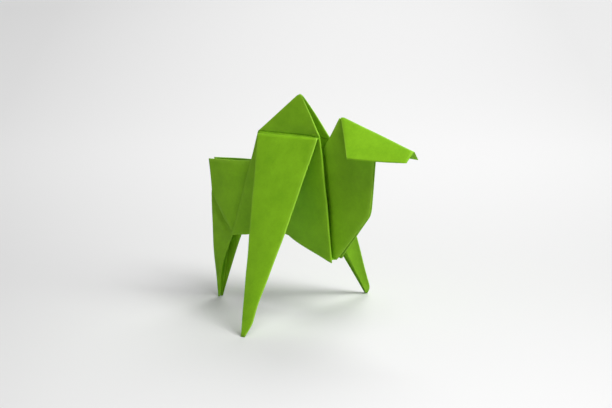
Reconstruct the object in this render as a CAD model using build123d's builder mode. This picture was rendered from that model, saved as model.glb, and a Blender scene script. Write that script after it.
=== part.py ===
from build123d import *
import os

# Camel folded from one square of paper. Millimetres, +X towards the nose, +Z up, the ground at Z = 0.
# The model is made for the side at -Y and mirrored, so half widths are distances from the middle plane.

# Paper: a panel is two layers of the sheet, and a fold is rounded a little proud of its panels.
# The hind flap runs up inside the rump and back down into the leg, so the rump has twice as many.
layer_thickness = 0.15
panel_layers = 2
rump_layers = 4
fold_bulge = 0.015
panel_thickness = layer_thickness * panel_layers
fold_radius = panel_thickness / 2 + fold_bulge

# Hump: the closed centre of the sheet
hump_x = -4.8
hump_z = 90.7
hump_back_x = -24.6
hump_back_z = 73.4
hump_front_x = 7.0
hump_front_z = 75.1
hump_half_width = 2.3

# Body: the middle crease runs from the hump down to the keel, where front and rear panels meet
keel_x = -13.2
keel_z = 32.2
belly_front_x = 15.0
belly_front_z = 25.9
seat_x = -38.0
seat_z = 28.4

# Rump and hind leg
back_z = 60.7
rump_x = -51.4
rump_z = 58.2
rump_half_width = 1.8
thigh_x = -48.8
thigh_z = 44.2
hock_x = -49.6
hock_z = 30.0
shin_x = -42.9
shin_z = 15.6
hind_foot_x = -46.7
hind_foot_length = 0.8
hind_foot_half_gap = 0.6

# Neck
neck_top_x = 15.5
neck_top_z = 84.0
breast_x = 31.1
breast_z = 48.3
breast_half_width = 0.5
breast_bevel_x = 30.2
breast_bevel_z = 45.7
chest_tip_x = 15.4
chest_tip_z = 27.3
throat_x = 32.4

# Head
nose_x = 51.4
nose_z = 74.7
chin_x = 50.1
chin_z = 70.7
chin_half_width = 3.3
jaw_x = 25.5
jaw_z = 69.9
jaw_half_width = 8.75

# Front leg: its top fold stands out from the hump by the pleat, and its foot is bevelled
pleat_out = 0.9
leg_top_inset = 0.4
foot_x = -1.8
foot_length = 1.7
foot_half_spread = 39.9
ankle_x = 1.2
ankle_z = 4.9
knee_x = 0.9
knee_z = 13.2
shank_x = 4.1
shank_z = 38.6
# Turned-in strip of the front leg: how far its free corner stands off the leg
strip_corner_share = 0.5
strip_corner_inset = 2.0
strip_gap = 2.4
# Feet run this far below the ground before they are trimmed level
foot_trim = 0.3


def near(x, half_width, z):
    return Vector(x, -half_width, z)


def on_plane(x, z, a, b, c):
    # the point at x and z that lies on the plane through a, b and c
    normal = (b - a).cross(c - a)
    y = a.Y - (normal.X * (x - a.X) + normal.Z * (z - a.Z)) / normal.Y
    return Vector(x, y, z)


def at_height(a, b, z):
    return a + (b - a) * ((z - a.Z) / (b.Z - a.Z))


def plane_of(a, b, c):
    return Plane(origin=a, x_dir=b - a, z_dir=(b - a).cross(c - a))


def panel(*corners, layers=panel_layers):
    plane = plane_of(corners[0], corners[1], corners[-1])
    with BuildSketch(plane) as outline:
        with BuildLine():
            Polyline(*[plane.to_local_coords(corner) for corner in corners], close=True)
        make_face()
    extrude(outline.sketch, amount=layers * layer_thickness / 2, both=True)


def fold(a, b):
    with BuildSketch(Plane(origin=a, z_dir=b - a)) as section:
        Circle(fold_radius)
    extrude(section.sketch, amount=(b - a).length)


# Corners of the sheet's panels on the near side
hump_top = near(hump_x, 0, hump_z)
hump_back = near(hump_back_x, hump_half_width, hump_back_z)
hump_front = near(hump_front_x, hump_half_width, hump_front_z)
keel = near(keel_x, 0, keel_z)
belly_front = on_plane(belly_front_x, belly_front_z, hump_top, keel, hump_front)
seat = on_plane(seat_x, seat_z, hump_top, keel, hump_back)

back = at_height(hump_back, seat, back_z)
rump = near(rump_x, rump_half_width, rump_z)
thigh = on_plane(thigh_x, thigh_z, seat, back, rump)
hind_heel = near(hind_foot_x - hind_foot_length / 2, hind_foot_half_gap, -foot_trim)
hock = on_plane(hock_x, hock_z, thigh, seat, hind_heel)
shin = on_plane(shin_x, shin_z, thigh, seat, hind_heel)
hind_toe = on_plane(hind_foot_x + hind_foot_length / 2, -foot_trim, thigh, seat, hind_heel)

neck_top = near(neck_top_x, 0, neck_top_z)
breast = near(breast_x, breast_half_width, breast_z)
breast_bevel = on_plane(breast_bevel_x, breast_bevel_z, keel, neck_top, breast)
chest_tip = on_plane(chest_tip_x, chest_tip_z, keel, neck_top, breast)
nose = near(nose_x, 0, nose_z)
jaw = near(jaw_x, jaw_half_width, jaw_z)
chin = near(chin_x, chin_half_width, chin_z)
throat_z = neck_top_z + (nose_z - neck_top_z) * (throat_x - neck_top_x) / (nose_x - neck_top_x)
throat = on_plane(throat_x, throat_z - panel_thickness, keel, neck_top, breast)

hump_foot = (hump_front - hump_back).normalized()
leg_back = hump_back + hump_foot * leg_top_inset - Vector(0, pleat_out, 0)
leg_front = hump_front - hump_foot * leg_top_inset - Vector(0, pleat_out, 0)
foot = near(foot_x, foot_half_spread, 0)
heel = on_plane(foot_x - foot_length / 2, -foot_trim, leg_back, leg_front, foot)
toe = on_plane(foot_x + foot_length / 2, -foot_trim, leg_back, leg_front, foot)
ankle = on_plane(ankle_x, ankle_z, leg_back, leg_front, foot)
knee = on_plane(knee_x, knee_z, leg_back, leg_front, foot)
shank = on_plane(shank_x, shank_z, leg_back, leg_front, foot)
leg_inward = (leg_front - leg_back).cross(foot - leg_back).normalized()
leg_inward = leg_inward if leg_inward.Y > 0 else leg_inward * -1
strip_corner = leg_back + (heel - leg_back) * strip_corner_share
strip_corner = strip_corner + Vector(strip_corner_inset, 0, 0) + leg_inward * strip_gap

hind_plane = plane_of(thigh, seat, hind_heel)


def hind_points(*corners):
    return [hind_plane.to_local_coords(corner) for corner in corners]


with BuildPart() as folded_sheet:
    # Hump and body
    panel(hump_top, hump_back, hump_front)
    panel(hump_top, hump_front, belly_front, keel)
    panel(hump_top, keel, seat, hump_back)
    fold(hump_top, hump_back)
    fold(hump_top, hump_front)
    fold(hump_front, belly_front)
    fold(hump_back, seat)
    fold(keel, belly_front)
    fold(keel, seat)

    # Rump, and the hind leg with its bowed edges
    panel(back, rump, thigh, seat, layers=rump_layers)
    with BuildSketch(hind_plane) as hind_outline:
        with BuildLine():
            Line(*hind_points(hind_toe, hind_heel))
            ThreePointArc(*hind_points(hind_heel, hock, thigh))
            Line(*hind_points(thigh, seat))
            ThreePointArc(*hind_points(seat, shin, hind_toe))
        make_face()
    extrude(amount=panel_thickness / 2, both=True)
    fold(thigh, seat)
    fold(back, rump)

    # Neck, and the fold under the chest that joins it to the body
    panel(keel, chest_tip, breast_bevel, breast, throat, neck_top)
    panel(keel, belly_front, chest_tip)
    fold(keel, chest_tip)
    fold(chest_tip, breast_bevel)
    fold(breast, throat)

    # Head: a roof over the neck, open below
    panel(neck_top, nose, chin)
    panel(neck_top, chin, jaw)
    fold(neck_top, chin)

    # Front leg flap, pleat and turned-in strip
    panel(hump_back, hump_front, leg_front, leg_back)
    panel(leg_back, leg_front, shank, knee, ankle, toe, heel)
    panel(shank, knee, strip_corner)
    fold(hump_back, hump_front)
    fold(leg_back, leg_front)
    fold(leg_front, shank)
    fold(shank, knee)
    fold(knee, ankle)

    mirror(about=Plane.XZ)

    # Creases on the middle plane
    fold(hump_top, keel)
    fold(keel, neck_top)
    fold(neck_top, nose)

    # Level feet
    split(bisect_by=Plane.XY, keep=Keep.TOP)

os.makedirs("parts", exist_ok=True)
folded_sheet.part.label = "folded_sheet"
export_step(folded_sheet.part, "parts/folded_sheet.step")
print("solids", len(folded_sheet.part.solids()), "volume", folded_sheet.part.volume)
print("box", folded_sheet.part.bounding_box())
print("centre", folded_sheet.part.center(CenterOf.MASS))
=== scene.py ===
import math

import bmesh
import bpy
import numpy as np
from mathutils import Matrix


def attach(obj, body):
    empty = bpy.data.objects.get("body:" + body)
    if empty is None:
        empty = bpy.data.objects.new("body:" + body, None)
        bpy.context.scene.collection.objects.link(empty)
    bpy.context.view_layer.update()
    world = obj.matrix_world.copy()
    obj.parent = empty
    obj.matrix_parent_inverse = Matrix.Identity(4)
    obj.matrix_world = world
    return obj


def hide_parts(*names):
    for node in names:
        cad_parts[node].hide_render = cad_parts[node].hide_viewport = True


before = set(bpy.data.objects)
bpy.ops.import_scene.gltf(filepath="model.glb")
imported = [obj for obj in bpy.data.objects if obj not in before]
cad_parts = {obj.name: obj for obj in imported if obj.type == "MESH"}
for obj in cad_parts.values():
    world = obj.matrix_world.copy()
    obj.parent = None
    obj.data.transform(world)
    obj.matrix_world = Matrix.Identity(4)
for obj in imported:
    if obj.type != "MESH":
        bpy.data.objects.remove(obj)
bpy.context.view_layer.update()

print("frame loaded:", sorted(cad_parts))

# Lengths below are millimetres: x towards the nose, z up, the near side at -y.
# The mesh itself is in metres.
mm = 0.001
sheet = dict(side=150.0, thick=0.14, wearAndHighlightReach=0.42)
cornerSoft = 0.018      # how far a bent edge is rounded each side of a corner, as a share of its run


def at(x, y, z):
    return np.array([x, y, z], float)


def unit(v):
    return v / np.linalg.norm(v, axis=-1, keepdims=True)


def onPlane(x, z, a, b, c):
    # the point at x and z on the plane through a, b and c
    n = np.cross(b - a, c - a)
    return at(x, a[1] - (n[0] * (x - a[0]) + n[2] * (z - a[2])) / n[1], z)


def outward(a, b, c):
    # unit normal of the plane through a, b and c, on the near side
    n = unit(np.cross(b - a, c - a))
    return n if n[1] < 0 else -n


def straight(a, b, t):
    return a + (b - a) * np.asarray(t)[:, None]


def ease(low, high, t):
    # 0 below low, 1 above high, and a smooth S between
    s = np.clip((np.asarray(t, float) - low) / (high - low), 0, 1)
    return s * s * (3 - 2 * s)


def arch(t):
    # half a sine wave: 0 at both ends, 1 in the middle
    return np.sin(math.pi * t)


def bell(distance, reach=sheet["wearAndHighlightReach"]):
    # 1 at no distance, falling away to both sides as a bell curve
    return np.exp(-(distance / reach) ** 2)


def through(knots, points, t):
    # smooth curve through the points: each span is a cubic, and the slope at a point is the
    # weighted mean of the slopes on its two sides
    knots = np.asarray(knots, float)
    points = np.asarray(points, float)
    slope = np.gradient(points, knots, axis=0)
    k = np.clip(np.searchsorted(knots, t, side="right") - 1, 0, len(knots) - 2)
    h = (knots[k + 1] - knots[k])[:, None]
    s = (t - knots[k])[:, None] / h
    return ((2 * s**3 - 3 * s**2 + 1) * points[k] + (s**3 - 2 * s**2 + s) * h * slope[k]
            + (3 * s**2 - 2 * s**3) * points[k + 1] + (s**3 - s**2) * h * slope[k + 1])


def bentLine(knots, points, t):
    # straight runs between the points, each corner softened by the mean of samples on both sides
    knots = np.asarray(knots, float)
    points = np.asarray(points, float)
    sample = np.asarray(t)[:, None] + cornerSoft * np.linspace(-1, 1, 13)[None, :]
    k = np.clip(np.searchsorted(knots, sample, side="right") - 1, 0, len(knots) - 2)
    s = (sample - knots[k]) / (knots[k + 1] - knots[k])
    return (points[k] + (points[k + 1] - points[k]) * s[..., None]).mean(axis=1)


def arcThrough(a, b, c, middle, t):
    # the parabola that is at a, b and c for t of 0, middle and 1, carried on past its ends
    t = np.asarray(t)[:, None]
    return (a * (t - middle) * (t - 1) / middle + b * t * (t - 1) / (middle * (middle - 1))
            + c * t * (t - middle) / (1 - middle))


# Corners of the folded model, near side
humpTop = at(-4.8, 0, 90.7)
humpBack = at(-24.6, -2.3, 73.4)
humpFront = at(7.0, -2.3, 75.1)
keel = at(-13.2, 0, 32.2)
bellyFront = onPlane(15.0, 25.9, humpTop, keel, humpFront)
seat = onPlane(-38.0, 28.4, humpTop, keel, humpBack)
backZ = 60.35
back = humpBack + (seat - humpBack) * ((backZ - humpBack[2]) / (seat[2] - humpBack[2]))
rump = at(-51.4, -1.8, 58.2)
thigh = onPlane(-49.4, 44.2, seat, back, rump)
crease = humpTop + (keel - humpTop) * 0.263      # middle crease at the level of the hump's foot
neckTop = at(15.5, 0, 84.0)
nose = at(51.4, 0, 74.7)
farFront = onPlane(9.0, 73.2, humpTop, keel, humpFront)      # the far fold runs a little further out
flipY = at(1, -1, 1)

sheets = []      # one entry for each folded strip: points, the fold mask (crease wear and painted highlight) and whether it closes on itself


def layPaper(points, wearAndHighlight, closed=False, side="near"):
    # a far strip is the mirrored near one, its columns turned round so that it faces the same way
    if side != "far":
        sheets.append((points, wearAndHighlight, closed))
    if side != "near":
        sheets.append(((points * flipY)[:, ::-1], wearAndHighlight[:, ::-1], closed))


def layHalves(near, wearAndHighlight, far, wearAndHighlightFar):
    # the near half ends on the middle plane, where the mirrored far half takes over
    points = np.concatenate([near, (far * flipY)[:, -2::-1]], axis=1)
    layPaper(points, np.concatenate([wearAndHighlight, wearAndHighlightFar[:, -2::-1]], axis=1))


# Turned edges: points round the bend, the flap's width over its widest radius, the strip's least
# width in radii, and the power by which the strip stands off towards its free edge
turned = dict(points=10, parts=4.5, least=1.5, opening=1.4)


def foldedFlap(left, right, out, turnLeft=None, turnRight=None, base=0.0, crown=0.0, columns=14):
    # a row runs from its left to its right point, at distance a across and height h outwards
    rows = len(left)
    wide = np.linalg.norm(right - left, axis=1)[:, None]
    over = (right - left) / wide
    bend = np.linspace(0, math.pi, turned["points"])[None, 1:-1]
    t = np.linspace(1, 0, max(columns - 4, 6))[None, :]      # 1 at the strip's free edge

    def column(value):
        return np.broadcast_to(np.asarray(value, float).reshape(-1, 1), (rows, 1))

    def turnedEdge(turn):
        # from the free edge of the strip underneath, round a half circle, up to the face
        r = np.minimum(column(turn["radius"]), wide / turned["parts"])
        strip = np.maximum(column(turn["width"]), turned["least"] * r)
        under = -2 * r - column(turn["open"]) * t ** turned["opening"]
        across = np.concatenate([r + (strip - r) * t, r * (1 - np.sin(bend))], axis=1)
        height = np.concatenate([under, -r * (1 + np.cos(bend))], axis=1)
        return r, across, height

    plain = (np.zeros((rows, 1)), np.zeros((rows, 0)), np.zeros((rows, 0)))
    low, leftA, leftH = turnedEdge(turnLeft) if turnLeft else plain
    high, rightA, rightH = turnedEdge(turnRight) if turnRight else plain
    face = low + (wide - high - low) * np.linspace(0, 1, columns)[None, :]
    a = np.concatenate([leftA, face, (wide - rightA)[:, ::-1]], axis=1)
    h = np.concatenate([leftH, 0 * face, rightH[:, ::-1]], axis=1)
    share = np.clip(a / wide, 0, 1)
    h = h + column(base) + column(crown) * 4 * share * (1 - share)
    points = left[:, None] + over[:, None] * a[..., None] + np.reshape(out, (-1, 1, 3)) * h[..., None]
    # the fold mask: 1 along turned edges, for a paler colour that is partly crease wear and partly painted
    # highlight
    wearAndHighlight = np.zeros_like(a)
    if turnLeft:
        wearAndHighlight = np.maximum(wearAndHighlight, bell(a))
    if turnRight:
        wearAndHighlight = np.maximum(wearAndHighlight, bell(wide - a))
    return points, wearAndHighlight


# Body: on each side the paper comes out from the crease, turns round the front or rear edge and
# goes back inside to the middle crease
body = dict(rows=44, columns=18, bendPoints=13,
            frontTurn=0.26, frontSwell=0.5, frontCrown=0.5,
            rearTurn=0.24, rearSwell=0.10, rearCrown=0.3,
            edgeX=(8.5, 11.0, 12.7, 13.75), edgeZ=(66.9, 52.2, 41.4, 33.9), edgeFoot=(15.1, 25.5),
            farLean=1.9, farOut=1.6,      # the far front edge
            creaseReach=0.985, tuck=0.50, lift=0.22, liftRows=(0, 0.35),      # layers near the crease
            valley=0.22, valleyX=0.4, middleX=0.2,      # where they meet at the crease
            fall=0.20, fallReach=1.5, fallRows=(0.02, 0.3),      # towards the turned edge
            sweep=2.2, sweepReach=3, sweepRows=(0.75, 1),      # the lower edge, up to the keel
            hidden=0.03, hiddenFlat=0.4, climb=2.5, underTop=4,      # the row up inside the hump
            wearAndHighlight=0.4, wearAndHighlightTurn=0.8)


def foldBodyHalf(edge, inside, out, turn, forward, crown, v):
    # edge turns, inside is the middle crease; h is the height outside the plane of edge and crease
    wide = np.linalg.norm(inside - edge, axis=1)[:, None]
    over = (inside - edge) / wide
    r = np.minimum(turn[:, None], wide / turned["parts"])
    bend = np.linspace(0, math.pi, body["bendPoints"])[None, 1:-1]
    t = np.linspace(0, 1, body["columns"])[None, :]
    toCrease = r + (body["creaseReach"] * wide - r) * t
    outer = r + (body["tuck"] - r) * ease(0, 1, t)
    inner = -r + (r + body["lift"]) * (t + (ease(0, 1, t) - t) * ease(*body["liftRows"], v)[:, None])
    a = np.concatenate([toCrease[:, ::-1], r - r * np.sin(bend), toCrease], axis=1)
    h = np.concatenate([outer[:, ::-1], r * np.cos(bend), inner], axis=1)
    share = np.clip(a / wide, 0, 1)
    h = h + crown[:, None] * 4 * share * (1 - share)
    fall = body["fall"] * ease(*body["fallRows"], v)[:, None]
    h = h + fall * (1 - np.exp(-a / body["fallReach"]))      # falls softly to the edge
    above = (v < 0)[:, None]
    h = np.where(above, body["hiddenFlat"] * h, h)      # the row above the first is hidden in the hump
    points = edge[:, None] + over[:, None] * a[..., None] + out * h[..., None]
    # the lower edge bends up to the keel
    sweep = body["sweep"] * ease(*body["sweepRows"], v)[:, None]
    points[..., 2] += sweep * np.exp((a - wide) / body["sweepReach"])
    valley = (inside + at(body["valleyX"] * forward, -body["valley"], 0))[:, None]
    middle = (inside + at(body["middleX"] * forward, 0, 0))[:, None]
    for line in (valley, middle):
        line[..., 2] += sweep
        line[..., 0] -= body["middleX"] * forward * above
    points = np.concatenate([points, valley, middle], axis=1)
    # paler round the turned edge: partly crease wear, partly painted highlight
    wearAndHighlight = body["wearAndHighlight"] * bell(a, sheet["wearAndHighlightReach"] + body["wearAndHighlightTurn"] * r)
    return points, np.pad(wearAndHighlight, ((0, 0), (0, 2)))


def upInto(edge, corner, v):
    # above its first row the edge goes up along the hump's fold, a little inside it
    inTop = humpTop - at(0, 0, body["underTop"])
    return edge + (inTop - corner) * body["climb"] * np.maximum(-v, 0)[:, None]


def frontHalf(v, corner):
    # the far edge stands out above and leans back below
    swing, lean = (body["farOut"], body["farLean"]) if corner is farFront else (0, 0)
    drop = np.array([corner[2], *body["edgeZ"], body["edgeFoot"][1]])
    knots = (drop[0] - drop) / (drop[0] - drop[-1])
    run = np.array([corner[0], *body["edgeX"], body["edgeFoot"][0]]) - lean * knots**2
    run[1:] += swing * (1 - knots[1:]) ** 3
    spots = [onPlane(x, z, humpTop, keel, humpFront) for x, z in zip(run, drop)]
    edge = upInto(through(knots, spots, np.maximum(v, 0)), corner, v)
    turn = body["frontTurn"] * (1 + body["frontSwell"] * arch(np.clip(v, 0, 1)))
    crown = body["frontCrown"] * arch(v) ** 2
    out = outward(humpTop, keel, humpFront)
    return foldBodyHalf(edge, straight(crease, keel, v), out, turn, 1, crown, v)


def rearHalf(v, corner):
    edge = upInto(straight(corner, seat, np.maximum(v, 0)), corner, v)
    turn = body["rearTurn"] + body["rearSwell"] * arch(np.clip(v, 0, 1))
    crown = body["rearCrown"] * arch(v) ** 2
    out = outward(humpTop, keel, humpBack)
    return foldBodyHalf(edge, straight(crease, keel, v), out, turn, -1, crown, v)


def foldBody():
    v = np.concatenate([[-body["hidden"]], np.linspace(0, 1, body["rows"])])
    for half, corner, farCorner in ((frontHalf, humpFront, farFront), (rearHalf, humpBack, humpBack)):
        layHalves(*half(v, corner), *half(v, farCorner))


foldBody()
print("body folded")

# Hump: a cone of four folds round the sheet's centre, a closed outline carried down from the top
# in straight rays
hump = dict(rows=30, rowPower=0.85, footPoints=26, cornerPoints=7,
            tip=0.008, rise=0.45, riseReach=0.2, blunt=0.60, bluntReach=0.03,      # the top
            curl=0.75, curlBack=0.15, curlStart=0.06, curlEnd=0.045, curlRows=(0.66, 1.0), curlPower=1.6,
            bowBack=0.22, bowFar=0.70, bowReach=4.0, bowPower=0.6)      # folds that bow out
humpOver = unit(humpFront - humpBack)
humpOut = outward(humpTop, humpBack, humpFront)
humpFall = unit(np.array([0, 0, -1.0]) + humpOut * humpOut[2])
footShares = np.linspace(0, 1, hump["footPoints"])


def humpFoot(u, corner):
    # the hump's foot line, pushed in under the leg's top fold, most at the front
    a = humpBack + (humpOver + humpOut) * body["rearTurn"]
    b = corner + (humpOut - humpOver) * body["frontTurn"]
    ends = (1 - np.exp(-(1 - u) / hump["curlEnd"])) * (1 - np.exp(-u / hump["curlStart"]))
    push = hump["curl"] * (hump["curlBack"] + (1 - hump["curlBack"]) * u) * ends
    return straight(a, b, u), push


def humpOutline(corner):
    # inside, the outline is the body's first row, from the tip of its turned edge to the middle
    foot, push = humpFoot(footShares, corner)
    first = np.zeros(1)
    tip = body["columns"] + (body["bendPoints"] - 2) // 2
    inFront = frontHalf(first, corner)[0][0, tip:]
    inRear = rearHalf(first, humpBack)[0][0, tip:][::-1]
    quarter = np.linspace(0, math.pi / 2, hump["cornerPoints"])[1:-1, None]
    rb, rf = body["rearTurn"], body["frontTurn"]
    backTurn = humpBack + humpOver * rb + rb * (humpOut * np.sin(quarter) - humpOver * np.cos(quarter))
    frontTurn = corner - humpOver * rf + rf * (humpOver * np.sin(quarter) + humpOut * np.cos(quarter))
    pushAll = np.concatenate([np.zeros(len(inRear) + len(backTurn)), push,
                              np.zeros(len(frontTurn) + len(inFront))])
    return np.concatenate([inRear, backTurn, foot, frontTurn, inFront]), pushAll


def foldHump():
    near, pushNear = humpOutline(humpFront)
    far, pushFar = humpOutline(farFront)
    outline = np.concatenate([near, (far * flipY)[-2:0:-1]])
    push = np.concatenate([pushNear, pushFar[-2:0:-1]])
    facing = np.tile(humpOut, (len(outline), 1))
    facing[len(near):] *= flipY
    v = hump["tip"] + (1 - hump["tip"]) * np.linspace(0, 1, hump["rows"]) ** hump["rowPower"]
    points = humpTop + v[:, None, None] * (outline - humpTop)
    curl = push * ease(*hump["curlRows"], v)[:, None] ** hump["curlPower"]
    points = points - facing * curl[..., None]
    # full below the top, blunt at its tip
    top = hump["rise"] * np.exp(-v / hump["riseReach"]) - hump["blunt"] * np.exp(-v / hump["bluntReach"])
    points[..., 2] += top[:, None]
    # the back fold and the far front fold bow out a little, most above half height
    for fold, bow in ((humpBack, -hump["bowBack"]), (farFront * flipY, hump["bowFar"])):
        close = bell(np.linalg.norm(outline - fold, axis=1), hump["bowReach"])
        points[..., 0] += bow * arch(v ** hump["bowPower"])[:, None] * close
    folds = np.stack([humpBack, humpFront, humpBack * flipY, farFront * flipY])
    reach = np.linalg.norm(outline[:, None] - folds, axis=2).min(1)
    layPaper(points, bell(reach[None, :] * v[:, None]), closed=True)


foldHump()
print("hump folded")

# Front legs: the pleat under the hump, the leg's face, and the strips turned in behind it
leg = dict(rows=70, columns=18, footX=-1.8, shankZ=38.6, kneeZ=13.2, crown=0.45, crownPower=0.7,
           inset=0.4, dropBack=0.55, dropFront=0.30, topTurn=0.24,      # the top fold
           pleatOut=0.9, pleatDepth=4.2, pleatTurn=0.15, pleatLoss=0.85, pleatEnd=(0.72, 1),
           bendPoints=9, downPoints=6, upPoints=8, topWearAndHighlight=0.25,
           frontTurn=0.27, frontThin=0.05, stripTop=0.16, stripRows=(0.02, 0.45), standRows=(0.10, 0.5),
           rearTurn=0.55, rearThin=0.55, hemOpen=0.25,      # the hem at the back
           near=dict(corner=humpFront, run=(4.1, 1.15, 1.0, -0.95), ankle=4.9, spread=39.9,
                     strip=0.60, stand=0.12, hem=0.20, heel=-2.65, bow=0.0),
           far=dict(corner=farFront, run=(3.95, 1.0, 0.0, -2.35), ankle=2.9, spread=41.6,
                    strip=0.24, stand=0.34, hem=0.05, heel=-3.65, bow=0.55))


def legFront(corner):
    return corner - humpOver * leg["inset"] - at(0, leg["pleatOut"], leg["dropFront"])


def legFoot(spread):
    return at(leg["footX"], -spread, 0)


legBack = humpBack + humpOver * leg["inset"] - at(0, leg["pleatOut"], leg["dropBack"])
legOut = outward(legBack, legFront(humpFront), legFoot(leg["near"]["spread"]))
legUp = unit(np.cross(humpOver, legOut))
legUp = legUp if legUp[2] > 0 else -legUp


def onLeg(x, z, spread):
    return onPlane(x, z, legBack, legFront(humpFront), legFoot(spread))


def foldPleat(corner, side):
    # a row's profile goes down behind the leg, turns up, and goes over the leg's top
    foot, push = humpFoot(footShares, corner)
    foot = foot - humpOut * push[:, None]
    depth = leg["pleatDepth"] * (1 - leg["pleatLoss"] * ease(*leg["pleatEnd"], footShares))
    deep = foot + humpFall * depth[:, None]      # shallow at the front, where it shows
    bend = np.linspace(0, math.pi, leg["bendPoints"])[None, :, None]
    rb, rt = leg["pleatTurn"], leg["topTurn"]
    under = deep[:, None] + humpOut * rb * (1 - np.cos(bend)) + humpFall * rb * np.sin(bend)
    top = straight(legBack, legFront(corner), footShares)[:, None] - legUp * rt
    over = top + rt * (legUp * np.sin(bend) - legOut * np.cos(bend))
    down = foot[:, None] + (deep - foot)[:, None] * np.linspace(0, 1, leg["downPoints"])[None, :-1, None]
    upShares = np.linspace(0, 1, leg["upPoints"])[None, 1:-1, None]
    up = under[:, -1:] + (over[:, :1] - under[:, -1:]) * upShares
    points = np.concatenate([down, under, up, over], axis=1)
    # paler over the leg's top fold: partly crease wear, partly painted highlight
    wearAndHighlight = np.zeros(points.shape[:2])
    wearAndHighlight[:, -leg["bendPoints"]:] = np.sin(np.linspace(leg["topWearAndHighlight"], 1, leg["bendPoints"]) * math.pi / 2)
    layPaper(points, wearAndHighlight, side=side)


def foldLeg(side, corner, run, ankle, spread, strip, stand, hem, heel, bow):
    v = np.linspace(0, 1, leg["rows"])
    topLine = legUp * leg["topTurn"]
    rear = straight(legBack - topLine, onLeg(heel, 0, spread), v)
    rear = rear + humpOver * bow * arch(v)[:, None]
    drop = np.array([humpFront[2], leg["shankZ"], leg["kneeZ"], ankle, 0.0])
    spots = [legFront(corner) - topLine] + [onLeg(x, z, spread) for x, z in zip(run, drop[1:])]
    front = bentLine((drop[0] - drop) / drop[0], spots, v)
    wide = np.linalg.norm(front - rear, axis=1)
    turnIn = dict(radius=leg["frontTurn"] - leg["frontThin"] * v,
                  width=wide * (leg["stripTop"] + strip * ease(*leg["stripRows"], v)),
                  open=stand * wide * ease(*leg["standRows"], v))
    turnBack = dict(radius=leg["rearTurn"] * (1 - leg["rearThin"] * v), width=hem * wide,
                    open=leg["hemOpen"] * arch(v))
    points, wearAndHighlight = foldedFlap(rear, front, legOut, turnLeft=turnBack, turnRight=turnIn, base=leg["topTurn"],
                              crown=leg["crown"] * arch(v) ** leg["crownPower"], columns=leg["columns"])
    layPaper(points, wearAndHighlight, side=side)


for side in ("near", "far"):
    foldPleat(leg[side]["corner"], side)
    foldLeg(side, **leg[side])
print("front legs folded")

# Rump and hind legs: each wall turns over its top edge, and the leg comes out from under it
hind = dict(rows=40, topTurn=0.20, topOpen=0.15, topWidth=0.5, lift=0.1, crown=0.35,
            step=1.5, tuckTop=(7.0, 1.0, 0.3), tuckLow=(6.0, 1.0, 1.0), levelShare=0.23, levelSink=0.25,
            knots=(0, 0.22, 0.40, 1),
            legRows=50, legTurn=0.22, legWidth=0.7, legOpen=0.35, openRows=(0, 0.4),
            inside=0.16, insideDepth=1.1, hollow=0.8, levelDepth=0.1, hollowRows=(0.04, 0.6),
            groove=0.9, grooveRows=(0.015, 0.15),      # along the rump's edge
            legCrown=0.5, crownRows=(0.05, 0.6), thighBack=1.25, footGap=0.6,
            hockZ=30.0, hockShare=0.33, shinZ=15.6, shinShare=0.45,
            near=dict(top=-0.2, hock=-50.6, heel=-47.75, shin=-44.2, toe=-47.3),
            far=dict(top=0.7, hock=-50.1, heel=-47.7, shin=-42.0, toe=-46.7))


def foldRump():
    u = np.linspace(0, 1, hind["rows"])
    sink = at(0, hind["step"], 0)

    def wallEdge(hidden, start, end):
        # deepest where the wall comes out from under the body, and nearly level further back
        level = start + hind["levelShare"] * (end - start) + hind["levelSink"] * sink
        return through(hind["knots"], [hidden + sink, start + sink, level, end], u)

    top = wallEdge(back + at(*hind["tuckTop"]), back, rump)
    low = wallEdge(seat + at(*hind["tuckLow"]), seat, thigh)
    wide = np.linalg.norm(low - top, axis=1)
    fold = dict(radius=hind["topTurn"], width=hind["topWidth"] * wide, open=hind["topOpen"])
    points, wearAndHighlight = foldedFlap(top, low, outward(seat, back, rump), turnLeft=fold, base=hind["lift"],
                              crown=hind["crown"] * arch(u))
    layPaper(points, wearAndHighlight, side="both")


def foldHindLeg(side, top, hock, heel, shin, toe):
    v = np.linspace(-hind["inside"], 1, hind["legRows"])      # starts up inside the rump
    foot = at(heel, -hind["footGap"], 0)

    def inPlane(x, z):
        return onPlane(x, z, thigh, seat, foot)

    hockAt, shinAt = inPlane(hock, hind["hockZ"]), inPlane(shin, hind["shinZ"])
    rear = arcThrough(thigh - at(hind["thighBack"], 0, 0), hockAt, foot, hind["hockShare"], v)
    front = arcThrough(seat + at(top, 0, 0), shinAt, inPlane(toe, 0), hind["shinShare"], v)
    wide = np.linalg.norm(front - rear, axis=1)
    fold = dict(radius=hind["legTurn"], width=hind["legWidth"] * wide,
                open=hind["legOpen"] * ease(*hind["openRows"], v))
    # the leg lies sunk under the rump's edge, with a groove along it, and comes out level below
    under = -hind["hollow"] + (hind["hollow"] - hind["levelDepth"]) * ease(*hind["hollowRows"], v)
    under = under - hind["insideDepth"] * np.clip(-v / hind["inside"], 0, 1)
    crown = (hind["legCrown"] * ease(*hind["crownRows"], v)
             - hind["groove"] * (1 - ease(*hind["grooveRows"], v)))
    out = outward(thigh, seat, foot)
    points, wearAndHighlight = foldedFlap(rear, front, out, turnLeft=fold, base=under, crown=crown)
    layPaper(points, wearAndHighlight, side=side)


foldRump()
for side in ("near", "far"):
    foldHindLeg(side, **hind[side])
print("rump and hind legs folded")

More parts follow.
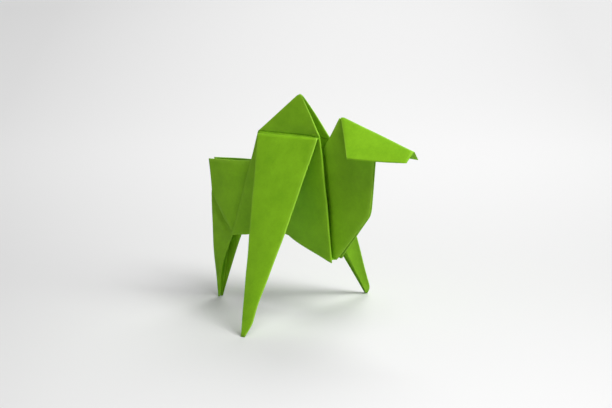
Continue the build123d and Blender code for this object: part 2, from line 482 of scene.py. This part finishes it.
# Neck: two walls from the spine at the back, each turned in at its front edge
neck = dict(rows=56, columns=20, bendPoints=9, spinePoints=6,
            spineTurn=0.30, spineThin=0.5, spineRows=(0.7, 1), frontTurn=0.15, strip=0.5, stripGap=0.1,
            topBack=0.6, below=0.7, throatX=33.4, breast=((29.95, 45.7), (30.75, 48.3)),
            frontShares=(0, 0.44, 0.49, 1), flareShares=(0, 0.5, 1), flarePower=1.6, crown=0.25, least=0.16,
            spread=0.80, dive=1.45, diveLevels=(28, 70), diveStart=1.8, diveShift=2.8,
            diveLength=1.4, diveGrowth=1.5, freeLevels=(71, 79),      # at the body's front edge
            near=dict(flare=(2.2, 0.65, 0.95), tip=(15.5, 26.4)),
            far=dict(flare=(2.3, 0.60, 0.95), tip=(14.1, 25.7)))
chest = dict(rows=20, columns=6, start=0.12, gap=0.3, toBody=(-1.1, 0.35, 0.5), toNeck=0.1)


def foldNeckHalf(flare, tip):
    v = np.linspace(0, 1, neck["rows"])
    spine = straight(keel, neckTop - at(neck["topBack"], 0, neck["below"]), v)
    throat = neckTop + (nose - neckTop) * (neck["throatX"] - neckTop[0]) / (nose[0] - neckTop[0])
    throat = throat - at(0, 0, neck["below"])
    spots = [at(x, 0, z) for x, z in (tip, *neck["breast"])] + [throat]
    front = bentLine(neck["frontShares"], spots, v)
    # a runs from the front edge to the spine, h is the distance from the middle plane
    wide = np.linalg.norm(spine - front, axis=1)[:, None]
    over = (spine - front) / wide
    r = neck["frontTurn"]
    rs = neck["spineTurn"] * (1 - neck["spineThin"] * ease(*neck["spineRows"], v))[:, None]
    flareAt = through(neck["flareShares"], np.array(flare)[:, None], v)
    # where each row goes in under the body's front edge, found in a few steps
    edgeZ = [bellyFront[2], *body["edgeZ"][::-1], humpFront[2]]
    edgeX = [bellyFront[0], *body["edgeX"][::-1], humpFront[0]]
    share = np.full(neck["rows"], 0.5)
    for step in range(4):
        level = front[:, 2] + (spine - front)[:, 2] * share
        share = np.clip((front[:, 0] - np.interp(level, edgeZ, edgeX)) / (front - spine)[:, 0], 0, 1)
    cover = np.maximum(share[:, None] * wide, 1e-9)      # never quite 0
    # the wall stands out a little towards that edge and dives in under it; above the body it is free
    held = (1 - ease(*neck["freeLevels"], level))[:, None]
    rising = ease(*neck["diveLevels"], level)
    start = (neck["diveStart"] - neck["diveShift"] * rising)[:, None]
    length = (neck["diveLength"] + neck["diveGrowth"] * rising)[:, None]

    def wall(a):
        across = np.clip(a / wide, 0, 1)
        flat = rs + (flareAt - rs) * (1 - across) ** neck["flarePower"] + neck["crown"] * arch(across)
        dive = neck["dive"] * ease(0, 1, (a - cover - start) / length)
        return np.maximum(flat + held * (neck["spread"] * np.clip(a / cover, 0, 1) - dive), neck["least"])

    bend = np.linspace(0, math.pi, neck["bendPoints"])[None, 1:-1]
    quarter = np.linspace(0, math.pi / 2, neck["spinePoints"])[None, 1:]
    t = np.linspace(0, 1, neck["columns"])[None, :]
    inner = r + (neck["strip"] * wide - r) * t[:, ::-1]
    outer = r + (wide - rs - r) * t
    lip = wall(np.full_like(wide, r)) - r
    a = np.concatenate([inner, r * (1 - np.sin(bend)) + 0 * wide,
                        outer, wide - rs + rs * np.sin(quarter)], axis=1)
    h = np.concatenate([np.maximum(wall(inner) - 2 * r, neck["stripGap"]), lip - r * np.cos(bend),
                        wall(outer), wall(wide - rs) * np.cos(quarter)], axis=1)
    points = front[:, None] + over[:, None] * a[..., None]
    points[..., 1] = -h
    return points, np.maximum(bell(a), bell(wide - a))


def foldChest(side, flare, tip):
    # the single layer under the chest that joins the neck to the body
    v = np.linspace(chest["start"], 1, chest["rows"])
    start = keel + at(0, -chest["gap"], body["sweep"])
    lean = at(body["farLean"] if side == "far" else 0, 0, 0)
    toBody = straight(start, bellyFront + at(*chest["toBody"]) - lean, v)
    toNeck = straight(start, at(tip[0], -flare[0], tip[1] + chest["toNeck"]), v)
    points, wearAndHighlight = foldedFlap(toBody, toNeck, at(0, 0, -1), columns=chest["columns"])
    layPaper(points, wearAndHighlight, side=side)


layHalves(*foldNeckHalf(**neck["near"]), *foldNeckHalf(**neck["far"]))
for side in ("near", "far"):
    foldChest(side, **neck[side])
print("neck folded")

# Head: a roof over the neck, its rear edge turned in, open along the jaw and cut blunt at the nose
head = dict(rows=34, rowPower=1.4, columns=18, bendPoints=9, ridgePoints=7,
            jaw=(26.1, -9.5, 70.1), chin=(50.5, -3.8, 70.85), sag=0.3,
            topRise=0.5, noseRise=0.35, blunt=0.5, bluntRows=(0, 0.04),
            ridge=0.30, ridgeReach=1.9, ridgeLeast=0.03, crown=0.30, crownPower=0.7,
            rearTurn=0.30, firstRow=0.006, innerEnd=0.82, innerShort=0.035,
            ridgeWearAndHighlight=0.2, length=36, rearWearAndHighlight=0.6)


def foldHead():
    # rows go from the free end of the inner layer to the rear edge, round it, and on to the nose
    jaw, chin = at(*head["jaw"]), at(*head["chin"])
    rf, first = head["rearTurn"], head["firstRow"]
    bend = np.linspace(0, math.pi, head["bendPoints"])[1:-1]
    away = np.linspace(0, 1, head["rows"]) ** head["rowPower"]
    v = np.concatenate([first + (head["innerEnd"] - first) * away[::-1], np.full(len(bend), first),
                        first + (1 - first) * away])
    inset = np.concatenate([np.full(len(away), 2 * rf), rf * (1 + np.cos(bend)), np.zeros(len(away))])
    rearward = np.concatenate([0 * away, rf * np.sin(bend), 0 * away])
    low = straight(jaw, chin, v)
    low[:, 2] -= head["sag"] * arch(np.clip(v, 0, 1))
    top = straight(neckTop + at(0, 0, head["topRise"]), nose + at(0, 0, head["noseRise"]), v)
    top[:, 2] -= head["blunt"] * (1 - ease(*head["bluntRows"], v))      # blunt where it starts
    along = unit((chin - jaw) * 0.5 + (nose - neckTop) * 0.5)
    out = unit(np.cross(top - low, along))
    out = np.where(out[:, 1:2] < 0, out, -out)
    rise = np.linalg.norm(top - low, axis=1)[:, None]
    toRidge = 1 - head["ridge"] * head["ridgeReach"] / rise
    start = np.where(inset > rf, head["innerShort"], 0.0)[:, None]
    share = start + (toRidge - start) * np.linspace(0, 1, head["columns"])[None, :]
    lift = head["crown"] * arch(share) * arch(np.clip(v, 0, 1))[:, None] ** head["crownPower"]
    face = low[:, None] + (top - low)[:, None] * share[..., None]
    face = face + out[:, None] * (lift - inset[:, None])[..., None]
    # the ridge is an arc from the face's normal to straight up
    s = np.linspace(0, 1, head["ridgePoints"])[None, 1:, None]
    aim = unit(out[:, None] * (1 - s) + at(0, 0, 1) * s)
    r = np.maximum(head["ridge"] - inset, head["ridgeLeast"])[:, None, None]
    centre = low + (top - low) * toRidge - out * head["ridge"]
    centre[:, 1] = 0
    arc = centre[:, None] + aim * r
    arc[:, -1, 1] = 0
    near = np.concatenate([face, arc], axis=1) - along * rearward[:, None, None]
    # paler along the ridge and the rear edge: partly crease wear, partly painted highlight
    wearAndHighlight = np.zeros(near.shape[:2])
    wearAndHighlight[:, -head["ridgePoints"]:] = np.linspace(head["ridgeWearAndHighlight"], 1, head["ridgePoints"])
    wearAndHighlight = np.maximum(wearAndHighlight, bell(v * head["length"], head["rearWearAndHighlight"])[:, None])
    layHalves(near, wearAndHighlight, near, wearAndHighlight)


foldHead()
print("head folded")

# Sway: each wave's turn per millimetre along x, y and z, and where it starts
sway = dict(high=0.10, tilt=(0.23, 0, 0.11, 0.6), cross=(-0.09, 0, 0.17, 0.3),
            slant=(-0.19, 0.2, 0.31, 1.9), slantShare=0.6)


def swayed(points):
    # paper is never quite flat: slow waves about a tenth of a millimetre high, which move all the
    # layers at one place together
    def wave(alongX, alongY, alongZ, start):
        return alongX * points[..., 0] + alongY * points[..., 1] + alongZ * points[..., 2] + start

    moved = points.copy()
    moved[..., 1] += sway["high"] * (np.sin(wave(*sway["tilt"])) * np.cos(wave(*sway["cross"]))
                                     + sway["slantShare"] * np.sin(wave(*sway["slant"])))
    return moved


def thicken(points, closed):
    # the strip's two faces lie half a thickness off its middle, along the normal, and rims close it
    # the normal is the cross product of the directions across and along the strip
    ring = np.concatenate([points[:, -1:], points, points[:, :1]], axis=1) if closed else points
    across = np.gradient(ring, axis=1)[:, 1:-1] if closed else np.gradient(ring, axis=1)
    along = np.gradient(points, axis=0)
    n = np.cross(across, along)
    n = n / np.maximum(np.linalg.norm(n, axis=2, keepdims=True), 1e-9)
    rows, cols = points.shape[:2]
    half = n * sheet["thick"] / 2
    spots = np.concatenate([(points + half).reshape(-1, 3), (points - half).reshape(-1, 3)])
    grid = np.arange(rows * cols).reshape(rows, cols)
    wrap = np.concatenate([grid, grid[:, :1]], axis=1) if closed else grid
    a, b, c, d = wrap[:-1, :-1], wrap[:-1, 1:], wrap[1:, 1:], wrap[1:, :-1]
    upper = np.stack([a, b, c, d], axis=-1).reshape(-1, 4)
    under = upper[:, ::-1] + rows * cols

    def rim(line):
        return np.stack([line[:-1], line[:-1] + rows * cols, line[1:] + rows * cols, line[1:]], axis=-1)

    rims = [rim(wrap[0]), rim(wrap[-1, ::-1])]
    if not closed:
        rims += [rim(grid[::-1, 0]), rim(grid[:, -1])]
    rims = np.concatenate(rims)
    smooth = np.concatenate([np.ones(len(upper) * 2, bool), np.zeros(len(rims), bool)])
    return spots, np.concatenate([upper, under, rims]), smooth


def buildSheet(material):
    spots, faces, smooth, wearAndHighlight = [], [], [], []
    count = 0
    for points, wornAndLit, closed in sheets:
        p, f, s = thicken(swayed(points), closed)
        spots.append(p)
        faces.append(f + count)
        smooth.append(s)
        wearAndHighlight.append(np.concatenate([wornAndLit.ravel(), wornAndLit.ravel()]))
        count += len(p)
    spots = np.concatenate(spots)
    spots[:, 2] = np.maximum(spots[:, 2], 0)      # feet stand level
    mesh = bpy.data.meshes.new("foldedSheet")
    mesh.from_pydata((spots * mm).tolist(), [], np.concatenate(faces).tolist())
    # the fold mask, carried to the material: crease wear and painted highlight
    foldWearAndHighlight = mesh.attributes.new("foldWearAndHighlight", "FLOAT", "POINT")
    foldWearAndHighlight.data.foreach_set("value", np.concatenate(wearAndHighlight).astype(np.float32))
    mesh.polygons.foreach_set("use_smooth", np.concatenate(smooth))
    work = bmesh.new()
    work.from_mesh(mesh)
    bmesh.ops.recalc_face_normals(work, faces=work.faces)
    work.to_mesh(mesh)
    work.free()
    mesh.materials.append(material)
    obj = bpy.data.objects.new("foldedSheet", mesh)
    bpy.context.scene.collection.objects.link(obj)
    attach(obj, "root")
    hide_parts("folded_sheet")
    print("sheet laid:", len(mesh.polygons), "faces")


def node(tree, kind, inputs=None, **settings):
    # a new node; each input gets a number, a colour or the output of another node
    made = tree.nodes.new("ShaderNode" + kind)
    for name, value in settings.items():
        setattr(made, name, value)
    for name, value in (inputs or {}).items():
        if isinstance(value, bpy.types.NodeSocket):
            tree.links.new(value, made.inputs[name])
        else:
            made.inputs[name].default_value = value
    return made


def combine(tree, kind, a, b, **settings):
    # the result of a sum, difference or product
    return node(tree, "Math", {0: a, 1: b}, operation=kind, **settings).outputs[0]


def spread(tree, value, fromRange, toRange, kind="LINEAR"):
    # carries a range of values over to another range
    ends = {"From Min": fromRange[0], "From Max": fromRange[1], "To Min": toRange[0], "To Max": toRange[1]}
    return node(tree, "MapRange", {"Value": value, **ends}, interpolation_type=kind).outputs["Result"]


def grey(level):
    return (level, level, level, 1)


# Paper: dyed green right through, a cloudy tone with fine fibres, a little paler along the folds, partly
# crease wear and partly a painted highlight on the rounded folds
# A noise is given by its scale, detail and roughness.
tone = dict(deep=(0.199, 0.475, 0.005, 1), full=(0.310, 0.655, 0.014, 1), creasedAndHighlit=(0.38, 0.71, 0.05, 1),
            cloud=(160, 4, 0.6), fibre=(1500, 6, 0.7), grain=(5200, 3, 0.6), patch=(420, 4, 0.6),
            middle=(0.3, 0.7), wide=(0.2, 0.8), cloudShare=(0.0, 0.6), fibreShare=(0.0, 0.4),
            patchShare=(0.25, 0.75), rough=(0.56, 0.70), shine=0.25,
            grainShare=0.5, bump=0.35, bumpDepth=0.00005)


def greenPaper():
    material = bpy.data.materials.new("greenPaper")
    material.use_nodes = True
    tree = material.node_tree
    place = node(tree, "TexCoord").outputs["Object"]

    def noise(scale, detail, rough):
        inputs = {"Vector": place, "Scale": scale, "Detail": detail, "Roughness": rough}
        return node(tree, "TexNoise", inputs).outputs["Fac"]

    def mix(factor, a, b):
        return node(tree, "Mix", {0: factor, 6: a, 7: b}, data_type="RGBA").outputs[2]

    cloud = noise(*tone["cloud"])      # pulp clouds, about 6 mm
    fibre = noise(*tone["fibre"])      # fibres, well under a millimetre
    grain = noise(*tone["grain"])
    tint = combine(tree, "ADD", spread(tree, cloud, tone["middle"], tone["cloudShare"]),
                   spread(tree, fibre, tone["middle"], tone["fibreShare"]))
    wornAndLit = node(tree, "Attribute", attribute_name="foldWearAndHighlight").outputs["Fac"]
    patch = spread(tree, noise(*tone["patch"]), tone["middle"], tone["patchShare"])
    dyed = mix(tint, tone["deep"], tone["full"])
    # paler along the folds: partly crease wear, partly painted highlight
    colour = mix(combine(tree, "MULTIPLY", wornAndLit, patch), dyed, tone["creasedAndHighlit"])
    height = combine(tree, "ADD", fibre, combine(tree, "MULTIPLY", grain, tone["grainShare"]))
    bump = node(tree, "Bump", {"Strength": tone["bump"], "Distance": tone["bumpDepth"], "Height": height})
    shader = tree.nodes["Principled BSDF"]
    shader.inputs["Specular IOR Level"].default_value = tone["shine"]
    tree.links.new(colour, shader.inputs["Base Color"])
    tree.links.new(spread(tree, fibre, tone["wide"], tone["rough"]), shader.inputs["Roughness"])
    tree.links.new(bump.outputs["Normal"], shader.inputs["Normal"])
    return material


buildSheet(greenPaper())

# Floor: one wide pale disc, which fills the view
viewTurn = 38.71      # the camera stands this many degrees round from the near side
floor = dict(reach=3.0, rings=24, spokes=96, lit=0.68, ramp=(0.02, 0.34), shade=(0.82, 0.985),
             sides=(0, 0.03), sideShade=(0, 0.10), open=0.35, away=(0.45, 0.80), far=0.93)


def seenRay(tree):
    # 1 for rays from the camera, also after a mirror or through glass
    ray = node(tree, "LightPath")
    either = combine(tree, "ADD", ray.outputs["Is Camera Ray"], ray.outputs["Is Glossy Ray"])
    return combine(tree, "ADD", either, ray.outputs["Is Transmission Ray"], use_clamp=True)


def paleFloor():
    # the view shows it white, with painted shade in front and at the sides, while the light that it throws
    # back on the paper stays low
    material = bpy.data.materials.new("paleFloor")
    material.use_nodes = True
    tree = material.node_tree
    tree.nodes.clear()
    place = node(tree, "TexCoord").outputs["Object"]
    turn = math.radians(viewTurn)
    rightward = (math.cos(turn), math.sin(turn), 0)
    backward = (-math.sin(turn), math.cos(turn), 0)

    def along(direction):
        return node(tree, "VectorMath", {0: place, 1: direction}, operation="DOT_PRODUCT").outputs["Value"]

    # painted shade: a little greyer in front and, by the square of the distance, out at the sides, where
    # the lamps' light falls off
    depth = spread(tree, along(backward), floor["ramp"], floor["shade"], "SMOOTHSTEP")
    across = along(rightward)
    sides = spread(tree, combine(tree, "MULTIPLY", across, across), floor["sides"], floor["sideShade"])
    seen = node(tree, "BsdfDiffuse", {"Color": combine(tree, "SUBTRACT", depth, sides)})
    # far from a spot behind the object, past what the lamps reach, it is plain white
    spot = [part * floor["open"] for part in backward]
    apart = node(tree, "VectorMath", {0: place, 1: spot}, operation="DISTANCE").outputs["Value"]
    beyond = spread(tree, apart, floor["away"], (0, 1), "SMOOTHSTEP")
    plain = node(tree, "Emission", {"Color": grey(floor["far"])})
    shown = node(tree, "MixShader", {0: beyond, 1: seen.outputs[0], 2: plain.outputs[0]})
    low = node(tree, "BsdfDiffuse", {"Color": grey(floor["lit"])})
    pick = node(tree, "MixShader", {0: seenRay(tree), 1: low.outputs[0], 2: shown.outputs[0]})
    node(tree, "OutputMaterial", {"Surface": pick.outputs[0]})
    return material


def layFloor():
    # a disc: rings of points at growing radius, round the middle
    radius = np.linspace(0, 1, floor["rings"])[1:, None] ** 2 * floor["reach"]
    turn = np.arange(floor["spokes"])[None, :] * 2 * math.pi / floor["spokes"]
    ring = np.stack([radius * np.cos(turn), radius * np.sin(turn), 0 * radius * turn], axis=-1)
    ring = ring.reshape(-1, 3)
    index = np.arange(len(ring)).reshape(-1, floor["spokes"])
    nextOne = np.roll(index, -1, axis=1)
    quads = np.stack([index[:-1], index[1:], nextOne[1:], nextOne[:-1]], axis=-1).reshape(-1, 4)
    middle = np.stack([np.full(floor["spokes"], len(ring)), index[0], nextOne[0]], axis=-1)
    mesh = bpy.data.meshes.new("floor")
    mesh.from_pydata(ring.tolist() + [(0, 0, 0)], [], quads.tolist() + middle.tolist())
    mesh.materials.append(paleFloor())
    obj = bpy.data.objects.new("floor", mesh)
    bpy.context.scene.collection.objects.link(obj)


layFloor()
print("floor laid")

# Light: a soft lamp above on the right, a wide one further out, and one for the floor behind
lamps = dict(
    key=dict(place=(0.45, -0.10, 0.78), size=0.6, watts=5.4),
    side=dict(place=(0.95, 0.05, 0.95), size=0.9, watts=7.8),
    behind=dict(place=(-0.45, 0.95, 0.90), size=0.9, watts=8.0),
)
room = dict(aim=(0, 0, 0.03), light=0.035, shown=0.93)


def hangLamp(name, place, size, watts):
    lamp = bpy.data.lights.new(name, "AREA")
    lamp.shape = "DISK"
    lamp.size = size
    lamp.energy = watts
    obj = bpy.data.objects.new(name, lamp)
    away = np.array(place) - np.array(room["aim"])
    tilt = math.atan2(math.hypot(away[0], away[1]), away[2])
    obj.location = place
    obj.rotation_euler = (tilt, 0, math.atan2(away[1], away[0]) + math.pi / 2)
    bpy.context.scene.collection.objects.link(obj)


def paintRoom():
    # the camera sees a pale room, while the light from it stays low
    world = bpy.data.worlds.new("room")
    world.use_nodes = True
    tree = world.node_tree
    tree.nodes.clear()
    lit = node(tree, "Background", {"Color": grey(1), "Strength": room["light"]})
    shown = node(tree, "Background", {"Color": grey(room["shown"])})
    pick = node(tree, "MixShader", {0: seenRay(tree), 1: lit.outputs[0], 2: shown.outputs[0]})
    node(tree, "OutputWorld", {"Surface": pick.outputs[0]})
    bpy.context.scene.world = world


for name, settings in lamps.items():
    hangLamp(name, **settings)
paintRoom()
print("lights hung")

# Camera: a long lens from the front right, a little above, its focal length in picture widths
view = dict(elevation=13.65, away=1.0, look=(-0.0019, 0.0, 0.04612), focal=2500 / 612, sensor=36)


def setCamera():
    turn, rise = math.radians(viewTurn), math.radians(view["elevation"])
    aim = np.array([math.cos(rise) * math.sin(turn), -math.cos(rise) * math.cos(turn), math.sin(rise)])
    camera = bpy.data.cameras.new("camera")
    camera.sensor_width = view["sensor"]
    camera.lens = view["focal"] * view["sensor"]
    obj = bpy.data.objects.new("camera", camera)
    obj.location = np.array(view["look"]) + aim * view["away"]
    obj.rotation_euler = (math.pi / 2 - rise, 0, turn)
    bpy.context.scene.collection.objects.link(obj)
    bpy.context.scene.camera = obj


setCamera()
bpy.context.scene.view_settings.view_transform = "Standard"
print("camera set")
